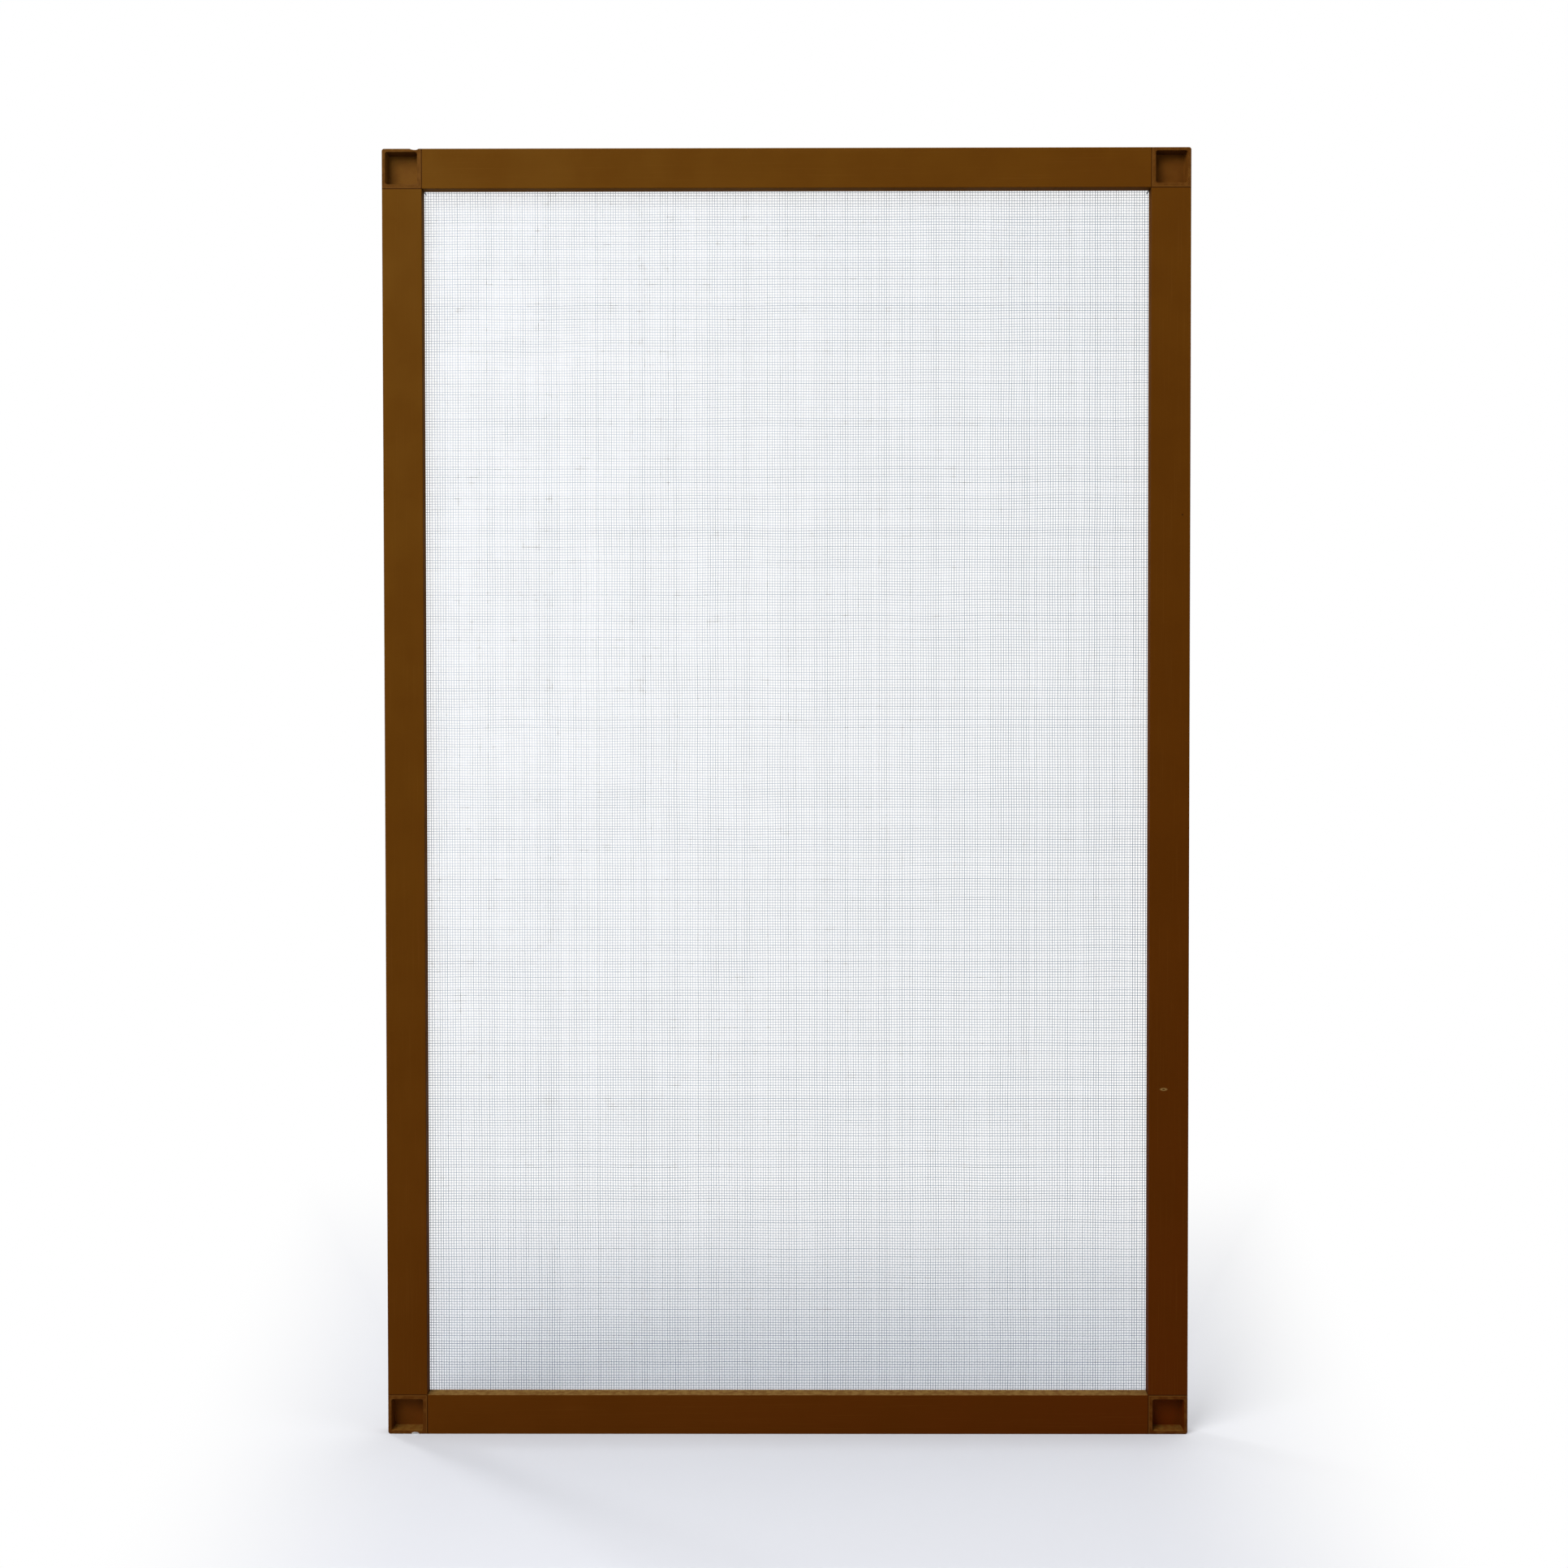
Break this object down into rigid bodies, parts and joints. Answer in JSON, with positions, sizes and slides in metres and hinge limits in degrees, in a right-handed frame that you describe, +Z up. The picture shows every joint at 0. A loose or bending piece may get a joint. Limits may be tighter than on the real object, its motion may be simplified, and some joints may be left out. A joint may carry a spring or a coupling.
{
  "type": "window screen frame",
  "caption": "Upright rectangular window insect screen: slim brown rails joined by square cupped corner connectors, with a fine woven mesh stretched across the opening.",
  "frame": {"origin": "middle of the bottom edge of the frame, halfway between its front and back faces", "axes": "+X across the frame to the right seen from the front, +Y from the front face to the back, +Z up the frame"},
  "size_m": [0.508, 0.01, 0.813],
  "materials": {
    "rail_coat": "satin brown powder coat",
    "corner_plastic": "fine moulded brown",
    "cord_vinyl": "matt black ribbed",
    "mesh_thread": "coated grey thread"
  },
  "bodies": {
    "root": {"bottom_rail": "rail_coat", "left_stile": "rail_coat", "top_rail": "rail_coat", "right_stile": "rail_coat", "cord_bottom": "cord_vinyl", "cord_left": "cord_vinyl", "cord_top": "cord_vinyl", "cord_right": "cord_vinyl", "corner_bottom_left": "corner_plastic", "corner_top_left": "corner_plastic", "corner_top_right": "corner_plastic", "corner_bottom_right": "corner_plastic", "screen_mesh": "mesh_thread"}
  },
  "joints": []
}
